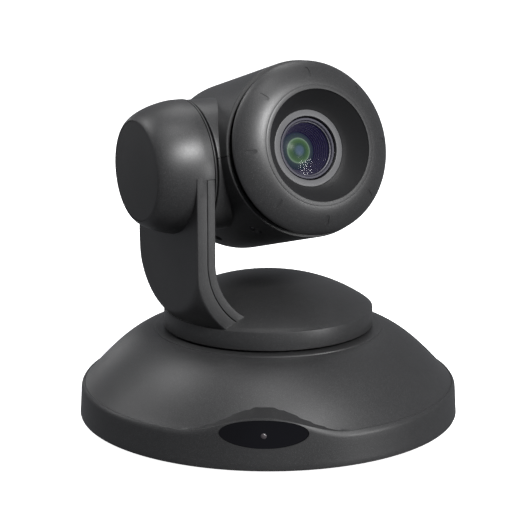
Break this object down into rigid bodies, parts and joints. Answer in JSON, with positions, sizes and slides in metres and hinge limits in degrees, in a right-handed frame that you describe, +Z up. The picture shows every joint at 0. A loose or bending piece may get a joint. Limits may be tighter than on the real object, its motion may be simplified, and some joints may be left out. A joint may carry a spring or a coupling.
{
  "type": "ptz camera",
  "caption": "Pan, tilt and zoom room camera with a bell base, a turntable on one curved arm and a round tilting lens head.",
  "frame": {"origin": "centre of the base on the surface it stands on, on the pan axis", "axes": "+Z up along the pan axis, -Y out of the front window of the base, +X to the right seen from the front"},
  "size_m": [0.18, 0.18, 0.1708],
  "materials": {
    "shell": "satin moulded charcoal with a faint metallic fleck",
    "trim": "fine spark texture, darker than the shells",
    "window": "polished smoked infrared window",
    "receiver": "dark red moulded dome",
    "board": "green solder mask",
    "rubber": "matt",
    "steel": "zinc plated",
    "chip": "moulded epoxy",
    "socket": "black moulded socket body",
    "brass": "turned",
    "motor": "drawn can",
    "gear": "natural acetal",
    "ribbon": "amber film",
    "dark_inner": "light-absorbing black",
    "lens_ring": "satin anodised",
    "lens_glass": "multi-coated"
  },
  "bodies": {
    "base": {"base_cover": "shell", "base_plate": "trim", "front_window": "window", "ir_receiver": "receiver", "receiver_board": "board", "rubber_feet": "rubber", "base_screws": "steel", "board_standoffs": "steel", "main_board": "board", "main_chips": "chip", "rear_panel": "trim", "power_jack": "socket", "usb_port": "steel", "video_port": "steel", "network_jack": "socket", "control_jack": "socket", "tripod_insert": "brass", "pan_chassis": "steel", "pan_motor": "motor", "pan_bearing_outer": "steel", "pan_bearing_balls": "steel"},
    "pan_pinion": {"pan_pinion": "brass"},
    "yoke": {"yoke_shell": "shell", "arm_inner_cover": "trim", "housing_lid": "trim", "housing_cap": "trim", "turntable_plate": "trim", "turntable_screws": "steel", "pan_shaft": "steel", "pan_retainer": "steel", "pan_bearing_inner": "steel", "pan_gear": "gear", "tilt_chassis": "steel", "tilt_bearing": "steel", "tilt_motor": "motor", "tilt_motor_bracket": "steel", "arm_ribbon": "ribbon"},
    "tilt_pinion": {"tilt_pinion": "brass"},
    "head": {"head_upper_shell": "shell", "head_lower_shell": "shell", "front_bezel": "shell", "lens_shroud": "dark_inner", "lens_ring": "lens_ring", "front_lens": "lens_glass", "lens_barrel": "dark_inner", "camera_block": "dark_inner", "image_sensor": "chip", "sensor_board": "board", "head_frame": "steel", "tilt_shaft": "steel", "tilt_gear": "gear", "head_screws": "steel"},
    "zoom_group": {"zoom_cell": "dark_inner", "zoom_lens": "lens_glass"},
    "focus_group": {"focus_cell": "dark_inner", "focus_lens": "lens_glass"}
  },
  "joints": [
    {"name": "pan", "type": "hinge", "parent": "base", "child": "yoke", "pos_m": [0, 0, 0.0433], "axis": [0, 0, 1], "range_deg": [-185.3, 124.7]},
    {"name": "pan_pinion_spin", "type": "hinge", "parent": "base", "child": "pan_pinion", "pos_m": [0, 0.0282, 0.036], "axis": [0, 0, 1], "range_deg": [-720, 1066]},
    {"name": "tilt", "type": "hinge", "parent": "yoke", "child": "head", "pos_m": [0, 0, 0.1222], "axis": [-0.8634, -0.5045, 0], "range_deg": [-45.7, 74.3]},
    {"name": "tilt_pinion_spin", "type": "hinge", "parent": "yoke", "child": "tilt_pinion", "pos_m": [0, 0, 0.1367], "axis": [-0.8634, -0.5045, 0], "range_deg": [-240, 150]},
    {"name": "zoom", "type": "slide", "parent": "head", "child": "zoom_group", "axis": [0.4857, -0.8312, 0.2706], "range_m": [-0.006, 0.006]},
    {"name": "focus", "type": "slide", "parent": "head", "child": "focus_group", "axis": [0.4857, -0.8312, 0.2706], "range_m": [-0.003, 0.003]}
  ],
  "couplings": [
    {"joint": "pan_pinion_spin", "follows": "pan", "ratio": -5.7143},
    {"joint": "tilt_pinion_spin", "follows": "tilt", "ratio": -3.1429}
  ]
}
